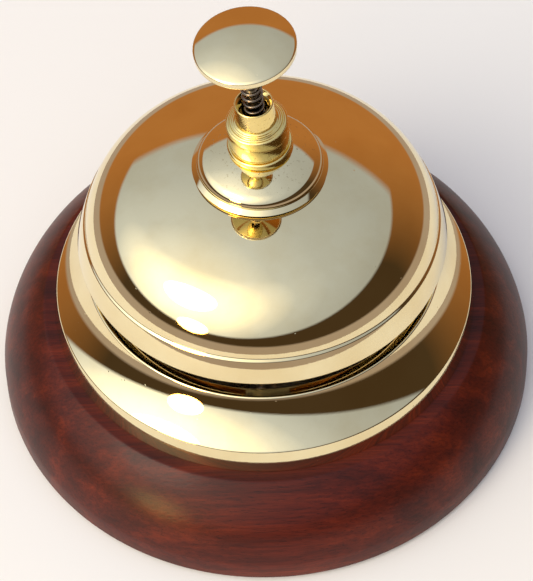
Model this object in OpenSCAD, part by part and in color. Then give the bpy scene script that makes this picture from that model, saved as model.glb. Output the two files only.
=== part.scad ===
// Call bell on a turned wood base, struck from inside by a push button on top.
// Origin: centre of the face it rests on. +Z up. +Y is the side the hammer is on.

/* [Base] */
// Outer radius of the wood base
base_r = 75; // [68:0.5:90]
// Height of the flat seat the brass stands on
seat_z = 27; // [25:0.5:34]
// Height of the upright edge band
edge_h = 7.1; // [5:0.1:10]
// Inward slope of the edge band
edge_draft = 0.4; // [0:0.1:1.5]
// Radius of the crease where the slope meets the flat seat
seat_r = 60.8; // [59.5:0.1:66]
// How far the rounded slope swells out of a straight line
slope_bulge = 2.4; // [1:0.1:5]
// Gap between the wood and the table
foot_gap = 0.8; // [0.3:0.1:1.2]

/* [Felt] */
// Radius of the felt pad
felt_r = 68; // [60:0.5:70]
// Thickness of the felt pad
felt_t = 2; // [1.6:0.1:3]

/* [Skirt] */
// Outer radius of the brass skirt at its foot
skirt_r = 57.9; // [56:0.1:59]
// Outer radius where the band meets the slope
skirt_band_r = 56.5; // [55:0.1:58]
// Height of the foot band
skirt_band_h = 7.1; // [5:0.1:9]
// Outer radius of the top rim
skirt_top_r = 47.4; // [45.5:0.1:50]
// Overall height of the skirt
skirt_h = 18.6; // [16:0.1:22]
// Hollow radius of the slope
skirt_cove_r = 30; // [20:1:120]
// Wall thickness of the skirt
skirt_t = 1.5; // [1.2:0.1:2]
// Width of the foot flange inside the skirt
flange_w = 10; // [8:0.5:12]

/* [Bell] */
// Outer radius of the bell lip
lip_r = 48.6; // [46:0.1:52]
// Height of the lip's lower edge above the skirt rim
lip_gap = 7.8; // [6:0.1:10]
// Height of the flared lip
lip_h = 7.2; // [5.5:0.1:9]
// Outer radius of the crease above the lip
crease_r = 45.9; // [44.5:0.1:47]
// How far the lip's top stands out from the crease
crease_step = 0.6; // [0.4:0.1:1.2]
// Lean-in of the dome wall at the crease, in degrees
crease_lean = 14; // [9:1:18]
// Rise of the dome above the crease
dome_rise = 20; // [18.5:0.1:22]
// Radius of the dome's shoulder
shoulder_r = 20.5; // [17:0.5:21.5]
// Wall thickness of the bell
bell_t = 2; // [1.6:0.1:2.6]
// Radius of the flat land in the middle of the dome
land_r = 9; // [8.5:0.1:11]

/* [Cap dish] */
// Outer radius of the dish rim
dish_r = 17.15; // [15:0.05:20]
// Height of the dish rim
dish_rim_h = 1.3; // [1:0.1:2]
// Radius of the crease inside the rim
dish_crease_r = 15.9; // [14:0.1:19]
// Rise of the dish above its rim
dish_rise = 6; // [5:0.1:7]
// Shoulder radius of the dish
dish_shoulder_r = 3.4; // [2.5:0.1:4]
// Wall thickness of the dish
dish_t = 1.2; // [1:0.1:1.5]
// Gap between the dish rim and the dome
dish_gap = 0.65; // [0.4:0.05:1]
// Outer radius of the spacer under the dish
spacer_r = 6.5; // [6:0.1:7.5]

/* [Collar] */
// Radius of the collar's foot flange
collar_flange_r = 8.15; // [7.9:0.05:8.4]
// Height of the foot flange
collar_flange_h = 2; // [1.5:0.1:3]
// Radius of the collar body
collar_r = 7.6; // [7.2:0.1:7.8]
// Height of the body's upper edge above the seat
collar_body_h = 9.8; // [8.5:0.1:12]
// Rise of the shoulder from the body's edge to the neck
collar_rise = 0.85; // [0.3:0.05:1.5]
// Radius of the neck at its foot
neck_foot_r = 5.1; // [4.8:0.1:5.6]
// Radius of the neck at the mouth
neck_r = 4.75; // [4.4:0.05:5]
// Overall height of the collar
collar_h = 16.5; // [15:0.1:18]
// Depth of the countersink in the mouth
sink_h = 1.4; // [0.8:0.1:2]
// Radius of the well that holds the spring
well_r = 3.15; // [3.1:0.05:3.4]
// Lean of the collar and button, in degrees
stem_lean = 5.3; // [0:0.1:5.6]
// Direction of the lean, in degrees from -X towards -Y
stem_turn = 33; // [0:1:60]

/* [Plunger] */
// How far the button goes down
travel = 4; // [3:0.1:4.2]
// Radius of the rod
rod_r = 1.4; // [1.2:0.05:1.5]
// Radius of the button
button_r = 12.1; // [10:0.1:15]
// Height of the button's upright rim
button_rim_h = 2.3; // [1.6:0.1:3]
// Rise of the button's crown
button_crown = 2.4; // [1.5:0.1:3.5]
// Distance from the collar's top to the button's lower edge
button_gap = 18; // [14:0.1:20]
// Outer radius of the return spring
spring_r = 2.65; // [2.5:0.05:2.75]
// Wire radius of the return spring
wire_r = 0.4; // [0.3:0.01:0.45]
// Turns of the return spring
spring_turns = 13; // [9:1:15]

/* [Post] */
// Outer radius of the hollow post
post_r = 4; // [3.6:0.1:4.2]
// Radius of the post's foot flange
post_flange_r = 6.5; // [6:0.1:7]
// Height of the post's foot flange
post_flange_h = 2.4; // [2:0.1:3]
// Thickness of the plate under the works
plate_t = 1.6; // [1.2:0.1:2]
// Radius of the plate under the works
plate_r = 40; // [38:0.5:44]

/* [Striker] */
// Height of the rocker pivot above the plate
pivot_h = 17.4; // [16:0.1:19]
// Distance from the post to the rocker pivot
fork_arm = 12; // [11.5:0.1:13]
// Distance from the pivot to the hammer
hammer_arm = 24.5; // [23:0.1:25]
// Radius of the hammer ball
hammer_r = 4.5; // [3.5:0.1:5]
// Gap left under the dome with the button fully down
strike_gap = 0.6; // [0.5:0.1:1.5]
// Half thickness of the rocker bar
bar_half_t = 1.5; // [1.2:0.1:1.7]
// Radius of the rocker pin
pivot_r = 1.5; // [1.2:0.1:1.6]
// Radius of the cross pin through the rod
cross_r = 1.2; // [1:0.05:1.3]

/* [Fits] */
// Radial clearance of parts that turn or slide
run_gap = 0.05; // [0.03:0.01:0.08]
// Radial clearance of fixed pins, threads and screws
fix_gap = 0.03; // [0.02:0.01:0.05]
// Gap between parts that meet when moving
touch_gap = 0.3; // [0.3:0.05:0.5]

/* [Show] */
// Sub-part to draw

/* [Hidden] */
$fn = 96;
eps = 0.01;
far = 200;

brass = [0.83, 0.66, 0.33];
steel = [0.62, 0.63, 0.65];
wood = [0.38, 0.12, 0.07];
felt = [0.10, 0.22, 0.14];
fibre = [0.45, 0.13, 0.09];

nut_recess_r = 13;
nut_recess_z = 12;
washer_t = 1.5;
post_washer_r = 10;
post_nut_w = 13;
post_nut_h = 5;
seat_washer_r = 8;
seat_nut_w = 14;
seat_nut_h = 4;
skirt_top_z = seat_z + skirt_h;
lip_z = skirt_top_z + lip_gap;
crease_z = lip_z + lip_h;
dome_z = crease_z + dome_rise;
crown_r = crown_radius(crease_r, dome_rise, shoulder_r, crease_lean);
crown_z = dome_z - crown_r;
land_z = crown_z + sqrt(crown_r * crown_r - land_r * land_r);
under_z = land_z - bell_t;
dish_foot_z = crown_z + sqrt(crown_r * crown_r - dish_r * dish_r) + dish_gap;
dish_crease_z = dish_foot_z + dish_rim_h;
dish_top_z = dish_crease_z + dish_rise;
collar_bed = 0.3;
collar_z = dish_top_z - collar_bed;
dish_crown_r = crown_radius(dish_crease_r, dish_rise, dish_shoulder_r, 0);
dish_boss_r = spacer_r + 1;
dish_under_z = dish_top_z - dish_crown_r
    + sqrt((dish_crown_r - dish_t) * (dish_crown_r - dish_t) - dish_boss_r * dish_boss_r);
lean_rise = 3;
lean_z = collar_z + lean_rise;
post_reach = 5.2;
post_top_z = collar_z + post_reach;
plate_z = seat_z + plate_t;
pivot_z = plate_z + pivot_h;
cross_z = pivot_z + bar_half_t + cross_r + touch_gap;
strike_angle = travel / fork_arm * 180 / PI;
button_s = collar_h - lean_rise + button_gap;
spring_foot_z = post_top_z;
wire_coil_r = spring_r - wire_r;
screw_r = 1.7;
screw_head_r = 3.1;
screw_head_h = 1.9;
screw_len = 12;
small_screw_r = 1.2;
small_head_r = 2.2;
small_head_h = 1.3;
small_screw_len = 8;
screw_slot_w = 0.8;
screw_slot_z = 0.45;
skirt_screw_in = 6.6;
plate_screw_in = 6;
bracket_screw_x = 5;
bracket_screw_y = 11;
edge_ease = 0.8;
skirt_lid_t = 0.9;
skirt_rim_w = 3;
rod_room = 0.8;
ear_in = 7.4;
ear_t = 1.6;
ear_r = 4.5;
foot_l = 21;
pin_len = 20.8;
hub_w = 6.9;
hub_r = 3.2;
bar_w = 6;
hammer_rod_r = 1.5;
hammer_tail = 3;
hammer_seat_r = 2.6;
hammer_seat_t = 1.2;
hammer_nut_w = 5.5;
hammer_nut_h = 2.2;
hole_gap = 0.2;
bell_hole_gap = 0.3;
lip_ease = 0.4;
groove = 0.35;
groove_w = 0.6;
collar_ease = 0.3;
collar_dip = 1.5;
neck_ease = 0.2;
neck_wall = 0.35;
post_pocket = 1.3;
foot_ease = 0.8;
rim_ease = 0.1;
top_ease = 0.4;
button_hub_r = 3.2;
button_hub_h = 1.5;
button_hole_h = 1.3;
spring_head_gap = 0.35;
spring_link = 0.8;
bend_gap = 0.3;
bend_swell = 0.15;
rod_tail = 5;
rod_end = 1.2;
pin_half = 6.6;
pin_waist = 0.6;
pin_step = 0.2;

// Height of the hammer above the pivot that leaves strike_gap under the crown
strike_q = crown_r - bell_t - hammer_r - strike_gap;
strike_u = -fork_arm * cos(strike_angle) + (crown_z - pivot_z) * sin(strike_angle);
strike_v = fork_arm * sin(strike_angle) + (crown_z - pivot_z) * cos(strike_angle);
hammer_h = strike_v + sqrt(strike_q * strike_q - (hammer_arm - strike_u) * (hammer_arm - strike_u));

// Radius of the crown arc that runs into a shoulder arc of radius rs, which starts at
// radius r0 leaning in by e degrees, with the crown's top at rise above its start
function crown_radius(r0, rise, rs, e) =
    ((r0 - rs * cos(e)) * (r0 - rs * cos(e)) + (rise + rs * sin(e)) * (rise + rs * sin(e)) - rs * rs)
    / (2 * (rise + rs * sin(e) - rs));

// Places children on the leaning line of the collar and the button
module on_lean() {
    translate([0, 0, lean_z])
        rotate([0, 0, stem_turn])
            rotate([0, -stem_lean, 0])
                children();
}

// Half profile of a dome with a crown arc and a shoulder arc, inset by t
module dome_area(r0, z0, rise, rs, e, t) {
    rc = crown_radius(r0, rise, rs, e);
    zc = z0 + rise - rc;
    sx = r0 - rs * cos(e);
    sz = z0 - rs * sin(e);
    k = (z0 + rise - sz) / (sz - zc) + 0.2;
    top = [sx * (1 + k), sz + (sz - zc) * k];
    intersection() {
        translate([0, zc])
            circle(r = rc - t, $fn = 360);
        polygon([[0, sz], [sx, sz], top, [0, top[1]]]);
    }
    intersection() {
        translate([sx, sz])
            circle(r = rs - t);
        polygon([[sx, sz], [sx + far, sz + far * tan(e)], [sx + far, top[1] + far], top]);
    }
}

module hex_nut(across, h, hole_r) {
    difference() {
        cylinder(r = across / sqrt(3), h = h, $fn = 6);
        translate([0, 0, -1])
            cylinder(r = hole_r, h = h + 2);
    }
}

// Round-head screw, underside of the head at z = 0, shank pointing down
module round_screw(r, head_r, head_h, len) {
    difference() {
        union() {
            intersection() {
                translate([0, 0, head_h - (head_r * head_r + head_h * head_h) / (2 * head_h)])
                    sphere(r = (head_r * head_r + head_h * head_h) / (2 * head_h));
                cylinder(r = head_r + 1, h = head_h + 1);
            }
            translate([0, 0, -len])
                cylinder(r = r, h = len + eps);
        }
        translate([-head_r, -screw_slot_w / 2, head_h * screw_slot_z])
            cube([2 * head_r, screw_slot_w, head_h]);
    }
}

module skirt_screw_places() {
    for (a = [45:90:315])
        rotate([0, 0, a])
            translate([skirt_r - skirt_t - skirt_screw_in, 0, 0])
                children();
}

module plate_screw_places() {
    for (a = [30:120:270])
        rotate([0, 0, a])
            translate([plate_r - plate_screw_in, 0, 0])
                children();
}

module bracket_screw_places() {
    for (x = [-bracket_screw_x, bracket_screw_x])
        translate([x, fork_arm + bracket_screw_y, 0])
            children();
}

// Solid side profile of the base
module wood_side() {
    dx = base_r - edge_draft - seat_r;
    dz = seat_z - edge_h;
    half = sqrt(dx * dx + dz * dz) / 2;
    slope_r = (half * half + slope_bulge * slope_bulge) / (2 * slope_bulge);
    back = slope_r - slope_bulge;
    cx = (base_r - edge_draft + seat_r) / 2 - back * dz / (2 * half);
    cz = (edge_h + seat_z) / 2 - back * dx / (2 * half);
    polygon([[0, foot_gap], [base_r - edge_ease, foot_gap], [base_r, foot_gap + edge_ease],
        [base_r - edge_draft, edge_h], [seat_r, seat_z], [0, seat_z]]);
    intersection() {
        translate([cx, cz])
            circle(r = slope_r, $fn = 180);
        polygon([[cx, cz], [cx + 2 * (base_r - edge_draft - cx), cz + 2 * (edge_h - cz)],
            [cx + 2 * (base_r - edge_draft - cx), cz + 2 * (seat_z - cz)],
            [cx + 2 * (seat_r - cx), cz + 2 * (seat_z - cz)]]);
    }
}

module wood_base() {
    color(wood)
    difference() {
        rotate_extrude($fn = 180)
            wood_side();
        translate([0, 0, -1])
            cylinder(r = felt_r + touch_gap, h = felt_t + 1);
        translate([0, 0, -1])
            cylinder(r = nut_recess_r, h = nut_recess_z + 1);
        translate([0, 0, -1])
            cylinder(r = post_r + fix_gap, h = seat_z + 2);
        translate([0, 0, seat_z - screw_len])
            skirt_screw_places()
                cylinder(r = screw_r + fix_gap, h = 20);
        translate([0, 0, seat_z - screw_len])
            plate_screw_places()
                cylinder(r = screw_r + fix_gap, h = 20);
        translate([0, 0, seat_z - 6])
            bracket_screw_places()
                cylinder(r = small_screw_r + fix_gap, h = 20);
    }
}

module base_felt() {
    color(felt)
    cylinder(r = felt_r, h = felt_t);
}

module skirt_outside(t) {
    dx = skirt_band_r - skirt_top_r;
    dz = skirt_h - skirt_band_h;
    half = sqrt(dx * dx + dz * dz) / 2;
    back = sqrt(skirt_cove_r * skirt_cove_r - half * half);
    cx = (skirt_band_r + skirt_top_r) / 2 + back * dz / (2 * half);
    cz = seat_z + (skirt_band_h + skirt_h) / 2 + back * dx / (2 * half);
    difference() {
        polygon([[0, seat_z], [skirt_r - t, seat_z], [skirt_band_r - t, seat_z + skirt_band_h],
            [skirt_top_r - t, seat_z + skirt_h], [0, seat_z + skirt_h]]);
        translate([cx - t, cz])
            circle(r = skirt_cove_r, $fn = 180);
    }
}

module brass_skirt() {
    color(brass)
    difference() {
        rotate_extrude($fn = 180)
            difference() {
                skirt_outside(0);
                intersection() {
                    skirt_outside(skirt_t);
                    translate([0, seat_z + skirt_t])
                        square([far, skirt_h - skirt_t - skirt_lid_t]);
                }
                translate([0, seat_z - 1])
                    square([skirt_r - skirt_t - flange_w, 5]);
                translate([0, seat_z])
                    square([skirt_top_r - skirt_rim_w, far]);
            }
        translate([0, 0, seat_z - 1])
            skirt_screw_places()
                cylinder(r = screw_r + fix_gap, h = 4);
    }
}

module skirt_screws() {
    color(brass)
    translate([0, 0, seat_z + skirt_t])
        skirt_screw_places()
            round_screw(screw_r, screw_head_r, screw_head_h, screw_len);
}

module works_plate() {
    color(steel)
    difference() {
        translate([0, 0, seat_z])
            cylinder(r = plate_r, h = plate_t);
        translate([0, 0, seat_z - 1])
            cylinder(r = post_r + fix_gap, h = plate_t + 2);
        translate([0, 0, seat_z - 1])
            plate_screw_places()
                cylinder(r = screw_r + fix_gap, h = plate_t + 2);
        translate([0, 0, seat_z - 1])
            bracket_screw_places()
                cylinder(r = small_screw_r + fix_gap, h = plate_t + 2);
    }
}

module plate_screws() {
    color(steel)
    translate([0, 0, plate_z])
        plate_screw_places()
            round_screw(screw_r, screw_head_r, screw_head_h, screw_len);
}

module post() {
    slot_w = 2 * (cross_r + touch_gap);
    slot_low = cross_z - travel - cross_r - touch_gap;
    slot_high = cross_z + cross_r + touch_gap;
    color(steel)
    difference() {
        union() {
            translate([0, 0, felt_t + 2])
                cylinder(r = post_r, h = post_top_z - felt_t - 2);
            translate([0, 0, plate_z])
                cylinder(r = post_flange_r, h = post_flange_h);
        }
        translate([0, 0, slot_low - 6])
            cylinder(r = rod_r + run_gap, h = far);
        translate([0, 0, lean_z - travel - 1])
            cylinder(r = rod_r + rod_room, h = far);
        translate([-far / 2, -slot_w / 2, slot_low])
            cube([far, slot_w, slot_high - slot_low]);
    }
}

module post_washer() {
    color(steel)
    translate([0, 0, nut_recess_z - washer_t])
        difference() {
            cylinder(r = post_washer_r, h = washer_t);
            translate([0, 0, -1])
                cylinder(r = post_r + fix_gap, h = 4);
        }
}

module post_nut() {
    color(steel)
    translate([0, 0, nut_recess_z - washer_t - post_nut_h])
        hex_nut(post_nut_w, post_nut_h, post_r + fix_gap);
}

module rocker_bracket() {
    color(steel)
    difference() {
        union() {
            translate([-ear_in - ear_t, fork_arm - ear_r, plate_z])
                cube([2 * (ear_in + ear_t), foot_l, ear_t]);
            for (x = [-ear_in - ear_t, ear_in]) {
                translate([x, fork_arm - ear_r, plate_z])
                    cube([ear_t, 2 * ear_r, pivot_h]);
                translate([x, fork_arm, pivot_z])
                    rotate([0, 90, 0])
                        cylinder(r = ear_r, h = ear_t);
            }
        }
        translate([-20, fork_arm, pivot_z])
            rotate([0, 90, 0])
                cylinder(r = pivot_r + fix_gap, h = 40);
        translate([0, 0, plate_z - 1])
            bracket_screw_places()
                cylinder(r = small_screw_r + fix_gap, h = 4);
    }
}

module bracket_screws() {
    color(steel)
    translate([0, 0, plate_z + ear_t])
        bracket_screw_places()
            round_screw(small_screw_r, small_head_r, small_head_h, small_screw_len);
}

module rocker_pin() {
    color(steel)
    translate([-pin_len / 2, fork_arm, pivot_z])
        rotate([0, 90, 0])
            cylinder(r = pivot_r, h = pin_len);
}

module rocker_arm() {
    tine_in = post_r + 0.6;
    color(brass)
    difference() {
        union() {
            translate([-hub_w, fork_arm, pivot_z])
                rotate([0, 90, 0])
                    cylinder(r = hub_r, h = 2 * hub_w);
            for (x = [-hub_w, tine_in])
                translate([x, -3, pivot_z - bar_half_t])
                    cube([hub_w - tine_in, fork_arm + 3, 2 * bar_half_t]);
            translate([-bar_w / 2, fork_arm, pivot_z - bar_half_t])
                cube([bar_w, hammer_arm + 4, 2 * bar_half_t]);
        }
        translate([-20, fork_arm, pivot_z])
            rotate([0, 90, 0])
                cylinder(r = pivot_r + run_gap, h = 40);
        translate([0, fork_arm + hammer_arm, pivot_z - 5])
            cylinder(r = hammer_rod_r + fix_gap, h = 10);
    }
}

module hammer() {
    color(brass)
    translate([0, fork_arm + hammer_arm, pivot_z]) {
        translate([0, 0, hammer_h])
            sphere(r = hammer_r);
        translate([0, 0, -bar_half_t - hammer_tail])
            cylinder(r = hammer_rod_r, h = hammer_h + bar_half_t + hammer_tail);
        translate([0, 0, bar_half_t])
            cylinder(r = hammer_seat_r, h = hammer_seat_t);
    }
}

module hammer_nut() {
    color(steel)
    translate([0, fork_arm + hammer_arm, pivot_z - bar_half_t - hammer_nut_h])
        hex_nut(hammer_nut_w, hammer_nut_h, hammer_rod_r + fix_gap);
}

module seat_nut() {
    color(steel)
    translate([0, 0, under_z - washer_t - seat_nut_h])
        hex_nut(seat_nut_w, seat_nut_h, post_r + fix_gap);
}

module seat_washer() {
    color(fibre)
    translate([0, 0, under_z - washer_t])
        difference() {
            cylinder(r = seat_washer_r, h = washer_t);
            translate([0, 0, -1])
                cylinder(r = post_r + fix_gap, h = 4);
        }
}

module bell_dome() {
    color(brass)
    difference() {
        rotate_extrude($fn = 180)
            intersection() {
                union() {
                    difference() {
                        dome_area(crease_r, crease_z, dome_rise, shoulder_r, crease_lean, 0);
                        dome_area(crease_r, crease_z, dome_rise, shoulder_r, crease_lean, bell_t);
                    }
                    translate([0, under_z])
                        square([land_r, 1]);
                    polygon([[crease_r, crease_z],
                        [crease_r - bell_t * cos(crease_lean), crease_z - bell_t * sin(crease_lean)],
                        [lip_r - bell_t - lip_ease / 2, lip_z + lip_ease],
                        [lip_r - bell_t + lip_ease / 2, lip_z],
                        [lip_r - lip_ease, lip_z], [lip_r, lip_z + lip_ease],
                        [crease_r + crease_step, crease_z - crease_step * 0.7]]);
                }
                translate([0, lip_z - 1])
                    square([far, land_z - lip_z + 1]);
            }
        translate([0, 0, under_z - 1])
            cylinder(r = post_r + bell_hole_gap, h = 10);
    }
}

module dish_spacer() {
    color(brass)
    translate([0, 0, land_z])
        difference() {
            cylinder(r = spacer_r, h = dish_under_z - land_z);
            translate([0, 0, -1])
                cylinder(r = post_r + hole_gap, h = 20);
        }
}

module cap_dish() {
    color(brass)
    difference() {
        rotate_extrude($fn = 120)
            intersection() {
                union() {
                    difference() {
                        dome_area(dish_crease_r, dish_crease_z, dish_rise, dish_shoulder_r, 0, 0);
                        dome_area(dish_crease_r, dish_crease_z, dish_rise, dish_shoulder_r, 0, dish_t);
                    }
                    translate([0, dish_under_z])
                        square([dish_boss_r, collar_z - dish_under_z]);
                    polygon([[dish_crease_r, dish_crease_z], [dish_crease_r - dish_t, dish_crease_z],
                        [dish_r - dish_t, dish_foot_z], [dish_r - lip_ease, dish_foot_z],
                        [dish_r, dish_foot_z + lip_ease]]);
                }
                translate([0, dish_foot_z - 1])
                    square([far, collar_z - dish_foot_z + 1]);
            }
        translate([0, 0, land_z])
            cylinder(r = post_r + hole_gap, h = 20);
    }
}

module collar() {
    color(brass)
    difference() {
        intersection() {
            on_lean()
                translate([0, 0, -lean_rise])
                    rotate_extrude()
                        difference() {
                            polygon([[0, -collar_dip], [collar_flange_r, -collar_dip],
                                [collar_flange_r, collar_flange_h - collar_ease],
                                [collar_flange_r - collar_ease, collar_flange_h],
                                [collar_r - groove, collar_flange_h],
                                [collar_r - groove, collar_flange_h + groove_w],
                                [collar_r, collar_flange_h + groove_w],
                                [collar_r, collar_body_h - neck_ease],
                                [collar_r - neck_ease, collar_body_h],
                                [neck_foot_r, collar_body_h + collar_rise],
                                [neck_r, collar_h - neck_ease], [neck_r - neck_ease, collar_h],
                                [0, collar_h]]);
                            translate([(collar_r + neck_foot_r) / 2, collar_body_h + collar_rise / 2])
                                circle(r = groove / 2, $fn = 24);
                        }
            translate([-far / 2, -far / 2, collar_z])
                cube([far, far, far]);
        }
        translate([0, 0, collar_z - 1])
            cylinder(r = post_r + fix_gap, h = post_reach + post_pocket);
        intersection() {
            on_lean()
                rotate_extrude()
                    polygon([[0, 0], [well_r, 0], [well_r, collar_h - lean_rise - sink_h],
                        [neck_r - neck_wall, collar_h - lean_rise],
                        [neck_r - neck_wall, collar_h + 2], [0, collar_h + 2]]);
            translate([-far / 2, -far / 2, post_top_z])
                cube([far, far, far]);
        }
    }
}

module return_spring() {
    top_z = lean_z + (button_s - button_hub_h) * cos(stem_lean) - spring_head_gap;
    pitch = (top_z - spring_foot_z - 2 * wire_r) / spring_turns;
    color(steel)
    for (i = [0:spring_turns])
        spring_place(spring_foot_z + wire_r + pitch * i, 0)
            rotate_extrude($fn = 40)
                translate([wire_coil_r, 0])
                    circle(r = wire_r, $fn = 12);
    color(steel)
    for (i = [0:spring_turns - 1])
        spring_place(spring_foot_z + wire_r + pitch * i, pitch / 2)
            translate([0, (i % 2 == 0) ? wire_coil_r : -wire_coil_r, 0])
                cylinder(r = wire_r * spring_link, h = pitch, $fn = 12);
}

// Puts a level ring of the spring at height z, shifted to follow the lean at z + up
module spring_place(z, up) {
    shift = (z + up - lean_z) * tan(stem_lean);
    translate([-shift * cos(stem_turn), -shift * sin(stem_turn), z])
        children();
}

module plunger_rod() {
    color(steel)
    difference() {
        union() {
            translate([0, 0, cross_z - rod_tail])
                cylinder(r = rod_r, h = lean_z - cross_z + rod_tail - bend_gap);
            translate([0, 0, lean_z])
                sphere(r = rod_r + bend_swell);
            on_lean()
                translate([0, 0, bend_gap])
                    cylinder(r = rod_r, h = button_s + rod_end - bend_gap);
        }
        translate([-10, 0, cross_z])
            rotate([0, 90, 0])
                cylinder(r = cross_r * pin_waist + fix_gap, h = 20);
    }
}

module cross_pin() {
    color(steel)
    translate([0, 0, cross_z])
        rotate([0, 90, 0]) {
            translate([0, 0, -pin_half])
                cylinder(r = cross_r * pin_waist, h = 2 * pin_half);
            translate([0, 0, -pin_half])
                cylinder(r = cross_r, h = pin_half - rod_r - pin_step);
            translate([0, 0, rod_r + pin_step])
                cylinder(r = cross_r, h = pin_half - rod_r - pin_step);
        }
}

module push_button() {
    ball_r = (button_r * button_r + button_crown * button_crown) / (2 * button_crown);
    color(brass)
    on_lean()
        translate([0, 0, button_s])
            difference() {
                union() {
                    rotate_extrude($fn = 120)
                        union() {
                            polygon([[0, 0], [button_r - foot_ease - rim_ease, 0],
                                [button_r - rim_ease, foot_ease],
                                [button_r - rim_ease, button_rim_h - rim_ease],
                                [button_r - top_ease, button_rim_h + rim_ease / 2],
                                [0, button_rim_h + rim_ease / 2]]);
                            intersection() {
                                translate([0, button_rim_h + button_crown - ball_r])
                                    circle(r = ball_r, $fn = 360);
                                translate([0, button_rim_h])
                                    square([button_r - top_ease, far]);
                            }
                        }
                    translate([0, 0, -button_hub_h])
                        cylinder(r = button_hub_r, h = button_hub_h + 0.5);
                }
                translate([0, 0, -2 * button_hub_h])
                    cylinder(r = rod_r + fix_gap, h = 2 * button_hub_h + button_hole_h);
            }
}

wood_base();
base_felt();
brass_skirt();
skirt_screws();
works_plate();
plate_screws();
post();
post_washer();
post_nut();
rocker_bracket();
bracket_screws();
rocker_pin();
rocker_arm();
hammer();
hammer_nut();
seat_nut();
seat_washer();
bell_dome();
dish_spacer();
cap_dish();
collar();
return_spring();
plunger_rod();
cross_pin();
push_button();
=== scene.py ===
import math
import bpy
import bmesh
from mathutils import Matrix, Vector


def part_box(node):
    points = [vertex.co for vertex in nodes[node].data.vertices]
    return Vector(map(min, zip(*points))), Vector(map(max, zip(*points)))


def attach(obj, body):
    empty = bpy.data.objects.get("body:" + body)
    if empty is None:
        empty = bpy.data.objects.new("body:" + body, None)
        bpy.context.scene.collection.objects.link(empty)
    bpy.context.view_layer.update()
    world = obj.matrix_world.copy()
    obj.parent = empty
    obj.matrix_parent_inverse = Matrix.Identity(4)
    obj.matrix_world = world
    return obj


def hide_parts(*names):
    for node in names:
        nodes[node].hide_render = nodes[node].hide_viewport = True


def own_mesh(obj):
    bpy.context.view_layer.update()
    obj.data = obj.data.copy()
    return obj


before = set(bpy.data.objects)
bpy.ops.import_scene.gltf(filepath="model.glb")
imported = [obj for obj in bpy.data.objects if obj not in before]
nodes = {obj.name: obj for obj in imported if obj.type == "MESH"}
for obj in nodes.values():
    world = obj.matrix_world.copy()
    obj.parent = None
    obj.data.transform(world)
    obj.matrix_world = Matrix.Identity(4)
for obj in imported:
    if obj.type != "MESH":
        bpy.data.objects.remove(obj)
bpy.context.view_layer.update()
mm = 0.001
print("frame loaded, pieces:", len(nodes))


# small helpers

def hexColour(text):
    # sRGB hex to the linear colour that shaders want
    rgb = [int(text[i:i + 2], 16) / 255 for i in (0, 2, 4)]
    return [c / 12.92 if c <= 0.04045 else ((c + 0.055) / 1.055) ** 2.4 for c in rgb] + [1.0]


def add(tree, kind, values=None, links=None, **settings):
    node = tree.nodes.new(kind)
    for name, value in settings.items():
        setattr(node, name, value)
    for socket, value in (values or {}).items():
        node.inputs[socket].default_value = value
    for socket, source in (links or {}).items():
        tree.links.new(source, node.inputs[socket])
    return node


def ramp(tree, source, stops):
    node = add(tree, "ShaderNodeValToRGB", links={"Fac": source})
    elements = node.color_ramp.elements
    while len(elements) < len(stops):
        elements.new(0.5)
    for element, (position, colour) in zip(elements, stops):
        element.position = position
        element.color = hexColour(colour) if isinstance(colour, str) else [colour] * 3 + [1.0]
    return node


def mix(tree, factor, a, b, blend="MIX"):
    # a Mix node's colour sockets share their names with its number sockets, so they are picked by place
    node = add(tree, "ShaderNodeMix", data_type="RGBA", blend_type=blend)
    for place, value in ((0, factor), (6, a), (7, b)):
        if isinstance(value, bpy.types.NodeSocket):
            tree.links.new(value, node.inputs[place])
        else:
            node.inputs[place].default_value = hexColour(value) if isinstance(value, str) else value
    return node.outputs[2]


def newMaterial(name):
    material = bpy.data.materials.new(name)
    material.use_nodes = True
    tree = material.node_tree
    shader = tree.nodes["Principled BSDF"]
    return material, tree, shader


def dress(obj, material):
    obj.data.materials.clear()
    obj.data.materials.append(material)
    return obj


def finishMesh(bm, name, material, sharpAngle=30):
    mesh = bpy.data.meshes.new(name)
    bm.to_mesh(mesh)
    bm.free()
    obj = bpy.data.objects.new(name, mesh)
    bpy.context.scene.collection.objects.link(obj)
    mesh.shade_smooth()
    mesh.set_sharp_from_angle(angle=math.radians(sharpAngle))
    return dress(obj, material)


def arcPoints(cx, cz, radius, start, end, count):
    # points along an arc in the r, z plane, angles in degrees from +r
    turn = [math.radians(start + (end - start) * i / count) for i in range(count + 1)]
    return [(cx + radius * math.cos(t), cz + radius * math.sin(t)) for t in turn]


def bulgeArc(a, b, bulge, count):
    # arc from a to b that swells by bulge to the right of the way from a to b
    dx, dz = b[0] - a[0], b[1] - a[1]
    half = math.hypot(dx, dz) / 2
    radius = (half * half + bulge * bulge) / (2 * abs(bulge))
    side = math.copysign(1, bulge)
    back = radius - abs(bulge)
    cx = (a[0] + b[0]) / 2 - side * back * dz / (2 * half)
    cz = (a[1] + b[1]) / 2 + side * back * dx / (2 * half)
    start = math.atan2(a[1] - cz, a[0] - cx)
    end = math.atan2(b[1] - cz, b[0] - cx)
    end += -2 * math.pi if end - start > math.pi else 2 * math.pi if start - end > math.pi else 0
    return arcPoints(cx, cz, radius, math.degrees(start), math.degrees(end), count)


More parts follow.
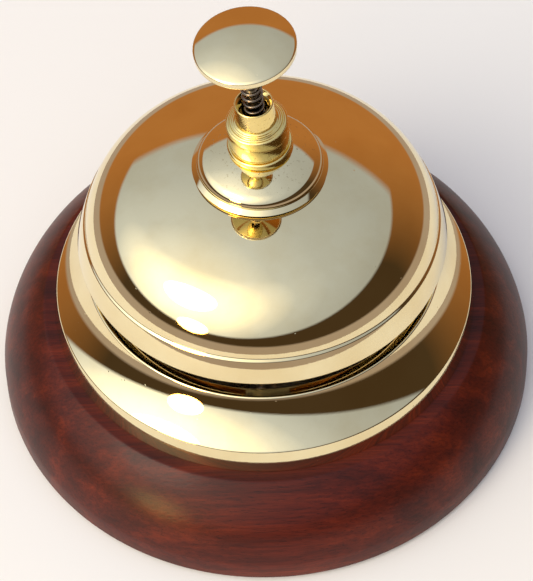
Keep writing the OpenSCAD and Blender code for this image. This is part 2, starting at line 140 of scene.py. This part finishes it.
def turned(name, outline, material, steps=256, soften=0.0, closed=True, place=None, minAngle=20):
    # spins an outline of (r, z) points in mm into a solid of revolution
    bm = bmesh.new()
    clean = [p for i, p in enumerate(outline) if i == 0 or math.dist(p, outline[i - 1]) > 1e-5]
    verts = [bm.verts.new((r * mm, 0, z * mm)) for r, z in clean]
    edges = [bm.edges.new(pair) for pair in zip(verts, verts[1:])]
    if closed:
        edges.append(bm.edges.new((verts[-1], verts[0])))
    bmesh.ops.spin(bm, geom=verts + edges, cent=(0, 0, 0), axis=(0, 0, 1), angle=2 * math.pi,
                   steps=steps, use_merge=True)
    bmesh.ops.remove_doubles(bm, verts=bm.verts[:], dist=1e-7)
    bmesh.ops.recalc_face_normals(bm, faces=bm.faces[:])
    if soften:
        edges = [e for e in bm.edges if len(e.link_faces) == 2
                 and e.calc_face_angle(0) > math.radians(minAngle)]
        bmesh.ops.bevel(bm, geom=edges, offset=soften * mm, affect="EDGES", segments=3, profile=0.5,
                        material=-1, clamp_overlap=True)
    if place is not None:
        bmesh.ops.transform(bm, matrix=place, verts=bm.verts[:])
    return finishMesh(bm, name, material)


# materials

def brassMaterial(name, colour, shade, roughness, rings=0.0, specks=0.0, stain=0.0):
    # brass buffed to a mirror: pale gold reflections, with the faint haze, hairlines and pits of handling
    material, tree, shader = newMaterial(name)
    place = add(tree, "ShaderNodeTexCoord").outputs["Object"]
    # clouds of slightly darker metal, 25 mm across
    cloud = add(tree, "ShaderNodeTexNoise", {"Scale": 40.0, "Detail": 5.0, "Roughness": 0.6}, {"Vector": place})
    tint = ramp(tree, cloud.outputs["Fac"], [(0.35, shade), (0.6, colour)]).outputs["Color"]
    # handling marks 18 mm across that dull the shine
    haze = add(tree, "ShaderNodeTexNoise", {"Scale": 55.0, "Detail": 4.0, "Distortion": 0.4}, {"Vector": place})
    spread = add(tree, "ShaderNodeMapRange", {"From Min": 0.35, "From Max": 0.75, "To Min": roughness * 0.6,
                 "To Max": roughness * 1.7}, {"Value": haze.outputs["Fac"]}).outputs["Result"]
    # hairlines of the buffing wheel, 0.3 mm apart and 4 mm long
    squeeze = add(tree, "ShaderNodeMapping", {"Scale": (240.0, 3300.0, 3300.0), "Rotation": (0.3, 0.2, 0.7)},
                  {"Vector": place})
    hair = add(tree, "ShaderNodeTexNoise", {"Scale": 1.0, "Detail": 3.0}, {"Vector": squeeze.outputs["Vector"]})
    last = add(tree, "ShaderNodeBump", {"Strength": 0.015, "Distance": 0.0001}, {"Height": hair.outputs["Fac"]})
    if specks:
        # pits about 0.3 mm wide, a few to a square centimetre
        cells = add(tree, "ShaderNodeTexVoronoi", {"Scale": 260.0, "Randomness": 1.0}, {"Vector": place})
        dots = ramp(tree, cells.outputs["Distance"], [(0.0, 1.0), (0.07, 0.0)])
        last = add(tree, "ShaderNodeBump", {"Strength": specks, "Distance": 0.00005},
                   {"Height": dots.outputs["Color"], "Normal": last.outputs["Normal"]}, invert=True)
    if rings:
        # lathe marks 0.3 mm apart along the turning axis
        marks = add(tree, "ShaderNodeTexWave", {"Scale": 530.0, "Distortion": 0.6, "Detail": 2.0,
                    "Detail Scale": 1.5}, {"Vector": place}, wave_type="BANDS", bands_direction="Z")
        last = add(tree, "ShaderNodeBump", {"Strength": rings, "Distance": 0.00003},
                   {"Height": marks.outputs["Fac"], "Normal": last.outputs["Normal"]})
    if stain:
        # olive polish residue and tarnish, in flecks 0.4 mm wide that gather near the axis
        parts = add(tree, "ShaderNodeSeparateXYZ", links={"Vector": place})
        flat = add(tree, "ShaderNodeCombineXYZ", links={"X": parts.outputs["X"], "Y": parts.outputs["Y"]})
        away = add(tree, "ShaderNodeVectorMath", links={0: flat.outputs["Vector"]}, operation="LENGTH")
        near = add(tree, "ShaderNodeMapRange", {"From Min": 0.0165, "From Max": 0.0085},
                   {"Value": away.outputs["Value"]})
        grit = add(tree, "ShaderNodeTexNoise", {"Scale": 1300.0, "Detail": 4.0, "Roughness": 0.7}, {"Vector": place})
        spots = ramp(tree, grit.outputs["Fac"], [(0.6, 0.0), (0.68, stain)])
        amount = add(tree, "ShaderNodeMath", links={0: spots.outputs["Color"], 1: near.outputs["Result"]},
                     operation="MULTIPLY").outputs["Value"]
        tint = mix(tree, amount, tint, "6a5a34")
        spread = add(tree, "ShaderNodeMath", links={0: amount, 1: grit.outputs["Fac"], 2: spread},
                     operation="MULTIPLY_ADD").outputs["Value"]
    tree.links.new(tint, shader.inputs["Base Color"])
    tree.links.new(spread, shader.inputs["Roughness"])
    tree.links.new(last.outputs["Normal"], shader.inputs["Normal"])
    shader.inputs["Metallic"].default_value = 1.0
    return material


def mahoganyMaterial():
    # mahogany under gloss lacquer: red-brown with straight grain along X and short dark pores
    material, tree, shader = newMaterial("lacqueredMahogany")
    place = add(tree, "ShaderNodeTexCoord").outputs["Object"]
    # growth bands 7 mm wide and 90 mm long
    along = add(tree, "ShaderNodeMapping", {"Scale": (11.0, 140.0, 140.0), "Rotation": (0.0, 0.0, 0.1)},
                {"Vector": place})
    figure = add(tree, "ShaderNodeTexNoise", {"Scale": 1.0, "Detail": 6.0, "Roughness": 0.6, "Distortion": 0.35},
                 {"Vector": along.outputs["Vector"]})
    # fibres 0.7 mm wide and 20 mm long
    thread = add(tree, "ShaderNodeMapping", {"Scale": (50.0, 1400.0, 1400.0), "Rotation": (0.0, 0.0, 0.1)},
                 {"Vector": place})
    fibres = add(tree, "ShaderNodeTexNoise", {"Scale": 1.0, "Detail": 4.0, "Roughness": 0.6},
                 {"Vector": thread.outputs["Vector"]})
    # pores 0.25 mm wide and 3 mm long
    pores = add(tree, "ShaderNodeMapping", {"Scale": (330.0, 4000.0, 4000.0), "Rotation": (0.0, 0.0, 0.1)},
                {"Vector": place})
    flecks = add(tree, "ShaderNodeTexNoise", {"Scale": 1.0, "Detail": 2.0, "Roughness": 0.6},
                 {"Vector": pores.outputs["Vector"]})
    # slow change of tone from side to side, 80 mm across
    broad = add(tree, "ShaderNodeTexNoise", {"Scale": 12.0, "Detail": 2.0}, {"Vector": place})
    bands = ramp(tree, figure.outputs["Fac"], [(0.3, "380d03"), (0.5, "521605"), (0.68, "6c2308")]).outputs["Color"]
    lines = ramp(tree, fibres.outputs["Fac"], [(0.35, 0.5), (0.6, 1.0)]).outputs["Color"]
    dark = ramp(tree, flecks.outputs["Fac"], [(0.33, 0.25), (0.42, 1.0)]).outputs["Color"]
    tone = ramp(tree, broad.outputs["Fac"], [(0.35, 0.7), (0.65, 1.05)]).outputs["Color"]
    grained = mix(tree, 0.8, bands, lines, "MULTIPLY")
    grained = mix(tree, 0.7, grained, dark, "MULTIPLY")
    tree.links.new(mix(tree, 1.0, grained, tone, "MULTIPLY"), shader.inputs["Base Color"])
    shader.inputs["Roughness"].default_value = 0.5
    shader.inputs["Specular IOR Level"].default_value = 0.15
    shader.inputs["Coat Weight"].default_value = 0.22
    shader.inputs["Coat Roughness"].default_value = 0.2
    bump = add(tree, "ShaderNodeBump", {"Strength": 0.3, "Distance": 0.0001}, {"Height": fibres.outputs["Fac"]})
    tree.links.new(bump.outputs["Normal"], shader.inputs["Normal"])
    # the lacquer sinks a little into the pores and streaks its shine along the grain
    skin = add(tree, "ShaderNodeBump", {"Strength": 0.45, "Distance": 0.0001}, {"Height": fibres.outputs["Fac"]})
    sink = add(tree, "ShaderNodeBump", {"Strength": 0.12, "Distance": 0.0001},
               {"Height": flecks.outputs["Fac"], "Normal": skin.outputs["Normal"]})
    tree.links.new(sink.outputs["Normal"], shader.inputs["Coat Normal"])
    return material


def feltMaterial():
    # green baize: short wool fibres pressed flat
    material, tree, shader = newMaterial("baizeFelt")
    place = add(tree, "ShaderNodeTexCoord").outputs["Object"]
    fibre = add(tree, "ShaderNodeTexNoise", {"Scale": 1400.0, "Detail": 6.0, "Roughness": 0.8,
                "Distortion": 1.5}, {"Vector": place})
    tint = ramp(tree, fibre.outputs["Fac"], [(0.3, "0b1f14"), (0.7, "1c4a2e")])
    tree.links.new(tint.outputs["Color"], shader.inputs["Base Color"])
    bump = add(tree, "ShaderNodeBump", {"Strength": 0.8, "Distance": 0.0003}, {"Height": fibre.outputs["Fac"]})
    tree.links.new(bump.outputs["Normal"], shader.inputs["Normal"])
    shader.inputs["Roughness"].default_value = 0.95
    shader.inputs["Sheen Weight"].default_value = 0.5
    return material


def steelMaterial(name, colour, shade, roughness, grainMm=0.4):
    # plain steel, oiled: grey with brown bloom in patches and fine drawn lines
    material, tree, shader = newMaterial(name)
    place = add(tree, "ShaderNodeTexCoord").outputs["Object"]
    bloom = add(tree, "ShaderNodeTexNoise", {"Scale": 90.0, "Detail": 6.0, "Roughness": 0.65}, {"Vector": place})
    tint = ramp(tree, bloom.outputs["Fac"], [(0.35, shade), (0.62, colour)])
    tree.links.new(tint.outputs["Color"], shader.inputs["Base Color"])
    spread = add(tree, "ShaderNodeMapRange", {"From Min": 0.3, "From Max": 0.7, "To Min": roughness * 0.7,
                 "To Max": roughness * 1.4}, {"Value": bloom.outputs["Fac"]})
    tree.links.new(spread.outputs["Result"], shader.inputs["Roughness"])
    lines = add(tree, "ShaderNodeTexNoise", {"Scale": 1.0 / (grainMm * mm), "Detail": 3.0}, {"Vector": place})
    bump = add(tree, "ShaderNodeBump", {"Strength": 0.12, "Distance": 0.00005}, {"Height": lines.outputs["Fac"]})
    tree.links.new(bump.outputs["Normal"], shader.inputs["Normal"])
    shader.inputs["Metallic"].default_value = 1.0
    return material


def fibreMaterial():
    # red vulcanised fibre washer: pressed paper, matt
    material, tree, shader = newMaterial("vulcanisedFibre")
    place = add(tree, "ShaderNodeTexCoord").outputs["Object"]
    grain = add(tree, "ShaderNodeTexNoise", {"Scale": 700.0, "Detail": 5.0}, {"Vector": place})
    tint = ramp(tree, grain.outputs["Fac"], [(0.3, "4a140e"), (0.7, "6f241a")])
    tree.links.new(tint.outputs["Color"], shader.inputs["Base Color"])
    bump = add(tree, "ShaderNodeBump", {"Strength": 0.3, "Distance": 0.0001}, {"Height": grain.outputs["Fac"]})
    tree.links.new(bump.outputs["Normal"], shader.inputs["Normal"])
    shader.inputs["Roughness"].default_value = 0.7
    return material


mirrorBrass = brassMaterial("mirrorBrass", "f0e2b6", "e8d6a6", 0.03, specks=0.25)
dishBrass = brassMaterial("dishBrass", "f0e2b6", "e8d6a6", 0.035, specks=0.25, stain=0.8)
collarBrass = brassMaterial("turnedBrass", "f3dc94", "e6ca7c", 0.07, rings=0.08, stain=0.5)
plainBrass = brassMaterial("satinBrass", "c9a560", "a8843f", 0.3)
mahogany = mahoganyMaterial()
baize = feltMaterial()
oiledSteel = steelMaterial("oiledSteel", "a5a5a6", "6f6a62", 0.32)
springSteel = steelMaterial("springSteel", "9a8f82", "5d5348", 0.2)
fibre = fibreMaterial()
print("materials made")

# carried-over CAD pieces keep their shape and take their finish
finishes = {
    "base_felt": baize, "skirt_screws": plainBrass, "works_plate": oiledSteel, "plate_screws": oiledSteel,
    "post": oiledSteel, "post_washer": oiledSteel, "post_nut": oiledSteel, "rocker_bracket": oiledSteel,
    "bracket_screws": oiledSteel, "rocker_pin": oiledSteel, "rocker_arm": plainBrass, "hammer": plainBrass,
    "hammer_nut": oiledSteel, "seat_nut": oiledSteel, "seat_washer": fibre, "dish_spacer": plainBrass,
    "plunger_rod": springSteel, "cross_pin": oiledSteel,
}
for nodeName, finish in finishes.items():
    for materialSlot in nodes[nodeName].material_slots:
        materialSlot.link = "OBJECT"
        materialSlot.material = finish


# turned wood base

base = {"rim": 75.0, "draft": 0.4, "edge": 7.1, "seat": 60.8, "seatHeight": 27.0, "bulge": 2.4, "foot": 0.8,
        "ease": 0.8, "feltRadius": 68.3, "feltDepth": 2.0, "nutRadius": 13.0, "nutHeight": 12.0, "postRadius": 4.03}


def makeBase():
    slope = bulgeArc((base["rim"] - base["draft"], base["edge"]), (base["seat"], base["seatHeight"]),
                     base["bulge"], 40)
    outline = [(base["postRadius"], base["nutHeight"]), (base["nutRadius"], base["nutHeight"]),
               (base["nutRadius"], base["feltDepth"]), (base["feltRadius"], base["feltDepth"]),
               (base["feltRadius"], base["foot"]), (base["rim"] - base["ease"], base["foot"]),
               (base["rim"], base["foot"] + base["ease"])]
    outline += slope + [(base["postRadius"], base["seatHeight"])]
    piece = turned("turned_base", outline, mahogany, soften=0.35)
    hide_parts("wood_base")
    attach(piece, "stand")


makeBase()

# brass skirt

skirt = {"foot": 57.9, "band": 56.5, "bandHeight": 7.1, "top": 47.4, "height": 18.6, "cove": 30.0, "wall": 1.5,
         "flange": 10.0, "floor": 27.0, "lipWidth": 3.0, "lid": 0.9}


def makeSkirt():
    floor, wall = skirt["floor"], skirt["wall"]
    top = floor + skirt["height"]
    low = (skirt["band"], floor + skirt["bandHeight"])
    high = (skirt["top"], top)
    half = math.dist(low, high) / 2
    sag = skirt["cove"] - math.sqrt(skirt["cove"] ** 2 - half ** 2)
    outer = bulgeArc(low, high, -sag, 40)
    inner = [(r - wall, z) for r, z in outer if z < top - skirt["lid"]]
    outline = [(skirt["foot"] - wall - skirt["flange"], floor), (skirt["foot"], floor)] + outer
    outline += [(skirt["top"] - skirt["lipWidth"], top), (skirt["top"] - skirt["lipWidth"], inner[-1][1])]
    outline += inner[::-1] + [(skirt["foot"] - wall, floor + wall),
                              (skirt["foot"] - wall - skirt["flange"], floor + wall)]
    piece = turned("skirt_shell", outline, mirrorBrass, soften=0.3)
    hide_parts("brass_skirt")
    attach(piece, "stand")


makeSkirt()


# bell and cap dish

def domeArcs(crease, creaseZ, rise, shoulder, lean, inset, count=48):
    # shoulder arc then crown arc, from the crease up to the axis, moved inwards by inset
    e = math.radians(lean)
    middle, low = crease - shoulder * math.cos(e), creaseZ - shoulder * math.sin(e)
    tall = creaseZ + rise - low
    crown = (middle ** 2 + tall ** 2 - shoulder ** 2) / (2 * (tall - shoulder))
    crownZ = creaseZ + rise - crown
    meet = math.degrees(math.atan2(low - crownZ, middle))
    wall = arcPoints(middle, low, shoulder - inset, lean, meet, count)
    return wall + arcPoints(0, crownZ, crown - inset, meet, 90, count)[1:]


bell = {"lip": 48.6, "lipFoot": 53.4, "crease": 45.9, "creaseHeight": 60.6, "rise": 20.0, "shoulder": 20.5,
        "lean": 14.0, "step": 0.6, "drop": 0.7, "wall": 2.0, "hole": 4.3, "ease": 0.4}


def makeBell():
    b = bell
    outer, inner = [[p for p in domeArcs(b["crease"], b["creaseHeight"], b["rise"], b["shoulder"], b["lean"], inset)
                     if p[0] > b["hole"]] for inset in (0, b["wall"])]
    outline = [(b["hole"], inner[-1][1])] + inner[::-1]
    within, ease = b["lip"] - b["wall"], b["ease"]
    outline += [(within - ease / 2, b["lipFoot"] + ease), (within + ease / 2, b["lipFoot"]),
                (b["lip"] - ease, b["lipFoot"]), (b["lip"], b["lipFoot"] + ease),
                (b["crease"] + b["step"], b["creaseHeight"] - b["drop"] * b["step"])]
    outline += outer + [(b["hole"], outer[-1][1])]
    piece = turned("bell_shell", outline, mirrorBrass, soften=0.22)
    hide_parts("bell_dome")
    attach(piece, "stand")


makeBell()

dish = {"rim": 17.15, "foot": 79.7467, "rimHeight": 1.3, "crease": 15.9, "rise": 6.0, "shoulder": 3.4, "wall": 1.2,
        "hole": 4.2, "landRadius": 8.0, "bed": 0.3, "ease": 0.4}


def makeDish():
    wall = dish["wall"]
    creaseZ = dish["foot"] + dish["rimHeight"]
    seatZ = creaseZ + dish["rise"] - dish["bed"]
    outer = [p for p in domeArcs(dish["crease"], creaseZ, dish["rise"], dish["shoulder"], 0, 0) if p[1] < seatZ]
    inner = [p for p in domeArcs(dish["crease"], creaseZ, dish["rise"], dish["shoulder"], 0, wall)
             if p[0] > dish["landRadius"]]
    outline = [(dish["hole"], inner[-1][1])] + inner[::-1]
    outline += [(dish["rim"] - wall, dish["foot"]), (dish["rim"] - dish["ease"], dish["foot"]),
                (dish["rim"], dish["foot"] + dish["ease"])]
    outline += outer + [(dish["hole"], seatZ)]
    piece = turned("dish_shell", outline, dishBrass, steps=192, soften=0.12)
    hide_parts("cap_dish")
    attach(piece, "stand")


makeDish()
print("base, skirt and bell made")

# collar, spring and button, all leaning together

stem = {"lean": 5.3, "turn": 33.0, "pivot": 89.7467, "pivotRise": 3.0, "collarSeat": 86.7467, "postTop": 91.9467,
        "travel": 4.0}
onLean = (Matrix.Translation((0, 0, stem["pivot"] * mm)) @ Matrix.Rotation(math.radians(stem["turn"]), 4, "Z")
          @ Matrix.Rotation(math.radians(-stem["lean"]), 4, "Y"))

collar = {"flange": 8.15, "flangeHeight": 2.0, "body": 7.6, "bodyHeight": 9.8, "rise": 0.85, "neckFoot": 5.1,
          "neck": 4.75, "height": 16.5, "well": 3.15, "sink": 1.4, "groove": 0.35, "wellFloor": 5.2, "bore": 4.03,
          "ringGap": 0.42, "ringDepth": 0.05, "foot": -1.6, "slot": 0.6, "ease": 0.2,
          "flangeEase": 0.3, "lipWall": 0.35, "floorGap": 0.2}


def makeCollar():
    c = collar
    # fine steps of the lathe tool on the shoulder, with one deeper groove
    edge = c["body"] - c["ease"]
    wide = edge - c["neckFoot"]
    count = round(wide / c["ringGap"])
    shoulder = []
    for i in range(1, count):
        t = i / count
        r, z = edge - wide * t, c["bodyHeight"] + c["rise"] * t
        depth = c["ringDepth"] * (3 if i == count // 2 else 1)
        shoulder += [(r + 0.11, z - 0.03), (r, z - depth), (r - 0.11, z + 0.05)]
    slotTop, wellFoot = c["flangeHeight"] + c["slot"], c["wellFloor"] + c["floorGap"]
    outline = [(c["bore"], c["foot"]), (c["flange"], c["foot"]), (c["flange"], c["flangeHeight"] - c["flangeEase"]),
               (c["flange"] - c["flangeEase"], c["flangeHeight"]), (c["body"] - c["groove"], c["flangeHeight"]),
               (c["body"] - c["groove"], slotTop), (c["body"], slotTop),
               (c["body"], c["bodyHeight"] - c["ease"]), (edge, c["bodyHeight"])]
    outline += shoulder
    outline += [(c["neckFoot"], c["bodyHeight"] + c["rise"]), (c["neck"], c["height"] - c["ease"]),
                (c["neck"] - c["ease"], c["height"]), (c["neck"] - c["lipWall"], c["height"]),
                (c["well"], c["height"] - c["sink"]), (c["well"], wellFoot), (c["bore"], wellFoot)]
    down = onLean @ Matrix.Translation((0, 0, -stem["pivotRise"] * mm))
    piece = turned("collar_turned", outline, collarBrass, steps=192, soften=0.06, place=down, minAngle=28)
    bm = bmesh.new()
    bm.from_mesh(piece.data)
    bmesh.ops.bisect_plane(bm, geom=bm.verts[:] + bm.edges[:] + bm.faces[:], dist=1e-7,
                           plane_co=(0, 0, stem["collarSeat"] * mm), plane_no=(0, 0, 1), clear_inner=True)
    rims = [e for e in bm.edges if e.is_boundary]
    bmesh.ops.bridge_loops(bm, edges=rims)
    bmesh.ops.recalc_face_normals(bm, faces=bm.faces[:])
    bm.to_mesh(piece.data)
    bm.free()
    piece.data.set_sharp_from_angle(angle=math.radians(30))
    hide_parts("collar")
    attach(piece, "stand")


makeCollar()

button = {"radius": 12.1, "rim": 2.3, "crown": 2.4, "height": 31.5, "hub": 3.2, "hubDrop": 1.5, "hole": 1.43,
          "holeTop": 1.3, "footEase": 0.8, "rimEase": 0.1, "topEase": 0.4}


def makeButton():
    b = button
    radius = b["radius"] - b["rimEase"]
    ball = (b["radius"] ** 2 + b["crown"] ** 2) / (2 * b["crown"])
    reach = math.degrees(math.asin((radius - b["topEase"]) / ball))
    crown = arcPoints(0, b["rim"] + b["crown"] - ball, ball, 90 - reach, 90, 48)
    outline = [(0, b["holeTop"]), (b["hole"], b["holeTop"]), (b["hole"], -b["hubDrop"]), (b["hub"], -b["hubDrop"]),
               (b["hub"], 0), (radius - b["footEase"], 0), (radius, b["footEase"]), (radius, b["rim"] - b["rimEase"])]
    outline += crown
    lift = onLean @ Matrix.Translation((0, 0, b["height"] * mm))
    piece = turned("button_turned", outline, mirrorBrass, steps=192, soften=0.15, closed=False, place=lift)
    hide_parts("push_button")
    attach(piece, "plunger")


makeButton()

spring = {"radius": 2.65, "wire": 0.4, "turns": 11.0, "closedTurns": 1.0, "pointsPerTurn": 28}


def makeSpring():
    s = spring
    low, high = (corner.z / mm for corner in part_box("return_spring"))
    slope = math.tan(math.radians(stem["lean"]))
    turn = math.radians(stem["turn"])
    coil = s["radius"] - s["wire"]
    closedRise = 2.1 * s["wire"] * s["closedTurns"]
    openRise = high - low - 2 * s["wire"] - 2 * closedRise
    data = bpy.data.curves.new("springPath", "CURVE")
    data.dimensions = "3D"
    data.bevel_depth = s["wire"] * mm
    data.bevel_resolution = 3
    data.use_fill_caps = True
    total = round(s["pointsPerTurn"] * (s["turns"] + 2 * s["closedTurns"]))
    path = data.splines.new("POLY")
    path.points.add(total)
    for i, point in enumerate(path.points):
        turns = i / s["pointsPerTurn"]
        open01 = min(max((turns - s["closedTurns"]) / s["turns"], 0), 1)
        closed01 = (turns - open01 * s["turns"]) / s["closedTurns"]
        z = low + s["wire"] + closedRise * closed01 + openRise * open01
        shift = (z - stem["pivot"]) * slope
        x = coil * math.cos(2 * math.pi * turns) - shift * math.cos(turn)
        y = coil * math.sin(2 * math.pi * turns) - shift * math.sin(turn)
        point.co = (x * mm, y * mm, z * mm, 1)
    tube = bpy.data.objects.new("springPath", data)
    mesh = bpy.data.meshes.new_from_object(tube)
    mesh.name = "spring_coil"
    bpy.data.objects.remove(tube)
    mesh.shade_smooth()
    piece = dress(bpy.data.objects.new("spring_coil", mesh), springSteel)
    bpy.context.scene.collection.objects.link(piece)
    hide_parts("return_spring")
    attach(piece, "stand")
    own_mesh(piece)


makeSpring()
print("collar, button and spring made")

# floor, light and camera

floor = {"radius": 0.22, "colour": "f1efec"}


def makeFloor():
    bm = bmesh.new()
    bmesh.ops.create_circle(bm, cap_ends=True, segments=128, radius=floor["radius"])
    material, tree, shader = newMaterial("palePaper")
    place = add(tree, "ShaderNodeTexCoord").outputs["Object"]
    tooth = add(tree, "ShaderNodeTexNoise", {"Scale": 900.0, "Detail": 4.0}, {"Vector": place})
    bump = add(tree, "ShaderNodeBump", {"Strength": 0.05, "Distance": 0.0002}, {"Height": tooth.outputs["Fac"]})
    tree.links.new(bump.outputs["Normal"], shader.inputs["Normal"])
    shader.inputs["Base Color"].default_value = hexColour(floor["colour"])
    shader.inputs["Roughness"].default_value = 0.8
    finishMesh(bm, "floor", material)


room = {"strength": 3.0, "glowTurn": -52.0, "glowHeight": 40.0, "plain": "f8f7f5", "surroundTop": 0.38,
        "tiltBack": 0.24, "tiltRight": 0.2, "edge": 0.025, "surroundBack": "b87c46", "surroundFront": "4a3a28",
        "surroundFoot": -0.12, "backStart": -0.1, "backEnd": 0.8, "lowest": "b3a39d"}


def makeWorld():
    # a plain studio: pale light overhead, brightest at the front left; below it a warm dark surround whose edge
    # leans up at the back and right, and pale ground; brass shows the surround as its dark rim
    world = bpy.data.worlds.new("studioRoom")
    bpy.context.scene.world = world
    world.use_nodes = True
    tree = world.node_tree
    back = tree.nodes["Background"]
    way = add(tree, "ShaderNodeTexCoord").outputs["Generated"]
    edgeWay = (-room["tiltRight"], -room["tiltBack"], 1.0)
    over = add(tree, "ShaderNodeVectorMath", {1: edgeWay}, {0: way}, operation="DOT_PRODUCT").outputs["Value"]
    isSky = add(tree, "ShaderNodeMapRange", {"From Min": room["surroundTop"] - room["edge"],
                "From Max": room["surroundTop"] + room["edge"]}, {"Value": over}).outputs["Result"]
    parts = add(tree, "ShaderNodeSeparateXYZ", links={"Vector": way})
    isSurround = add(tree, "ShaderNodeMapRange", {"From Min": room["surroundFoot"] - room["edge"],
                     "From Max": room["surroundFoot"] + room["edge"]},
                     {"Value": parts.outputs["Z"]}).outputs["Result"]
    toBack = add(tree, "ShaderNodeMapRange", {"From Min": room["backStart"], "From Max": room["backEnd"]},
                 {"Value": parts.outputs["Y"]}).outputs["Result"]
    surround = mix(tree, toBack, room["surroundFront"], room["surroundBack"])
    low = mix(tree, isSurround, room["lowest"], surround)
    # overhead: grey at the back and right, near white towards the glow
    glowTurn, glowHeight = math.radians(room["glowTurn"]), math.radians(room["glowHeight"])
    glowWay = (math.sin(glowTurn) * math.cos(glowHeight), -math.cos(glowTurn) * math.cos(glowHeight),
               math.sin(glowHeight))
    glow = add(tree, "ShaderNodeVectorMath", {1: glowWay}, {0: way}, operation="DOT_PRODUCT").outputs["Value"]
    sky = ramp(tree, glow, [(0.0, "6c717c"), (0.4, "757a85"), (0.62, "838893"), (0.76, "a0a2a8"), (0.86, "bfbeba"),
               (0.94, "dbd8cf"), (1.0, "efe9dc")]).outputs["Color"]
    dim = mix(tree, 1.0, low, [1 / room["strength"]] * 3 + [1.0], "MULTIPLY")
    seen = mix(tree, isSky, dim, sky)
    # what the camera sees straight past the floor is a plain pale backdrop
    plain = mix(tree, 1.0, room["plain"], [1 / room["strength"]] * 3 + [1.0], "MULTIPLY")
    direct = add(tree, "ShaderNodeLightPath").outputs["Is Camera Ray"]
    tree.links.new(mix(tree, direct, seen, plain), back.inputs["Color"])
    back.inputs["Strength"].default_value = room["strength"]


lamps = {
    # a broad soft lamp inside the glow lights the floor; a low golden one warms the wood's front left
    "windowLight": {"size": 0.8, "energy": 7.0, "distance": 1.6, "colour": "fff4de", "turn": -52.0, "height": 42.0},
    "lowLight": {"size": 0.5, "energy": 9.0, "distance": 1.6, "colour": "ffc470", "turn": -40.0, "height": 9.0},
}


def makeLights():
    for name, settings in lamps.items():
        lamp = bpy.data.lights.new(name, "AREA")
        lamp.shape = "DISK"
        lamp.size = settings["size"]
        lamp.energy = settings["energy"]
        lamp.color = hexColour(settings["colour"])[:3]
        light = bpy.data.objects.new(name, lamp)
        turn, rise, far = math.radians(settings["turn"]), math.radians(settings["height"]), settings["distance"]
        light.location = (math.sin(turn) * math.cos(rise) * far, -math.cos(turn) * math.cos(rise) * far,
                          math.sin(rise) * far)
        light.rotation_euler = light.location.to_track_quat("Z", "Y").to_euler()
        bpy.context.scene.collection.objects.link(light)


camera = {"back": 0.2635, "height": 0.3842, "pitch": 53.62, "yaw": 0.14, "roll": -1.8, "lens": 99.37}


def makeCamera():
    pitch, yaw, roll = (math.radians(camera[k]) for k in ("pitch", "yaw", "roll"))
    ahead = Vector((math.sin(yaw) * math.cos(pitch), math.cos(yaw) * math.cos(pitch), -math.sin(pitch)))
    right = ahead.cross(Vector((0, 0, 1))).normalized()
    up = right.cross(ahead)
    camRight = right * math.cos(roll) + up * math.sin(roll)
    camUp = up * math.cos(roll) - right * math.sin(roll)
    turn = Matrix((camRight, camUp, -ahead)).transposed().to_4x4()
    data = bpy.data.cameras.new("studioCamera")
    data.lens = camera["lens"]
    data.sensor_width = 36.0
    data.clip_start = 0.01
    obj = bpy.data.objects.new("studioCamera", data)
    obj.matrix_world = Matrix.Translation((0, -camera["back"], camera["height"])) @ turn
    bpy.context.scene.collection.objects.link(obj)
    bpy.context.scene.camera = obj


# plain colours, without the film-like curve that washes out brass
bpy.context.scene.view_settings.view_transform = "Standard"
makeFloor()
makeWorld()
makeLights()
makeCamera()
print("floor, light and camera made")
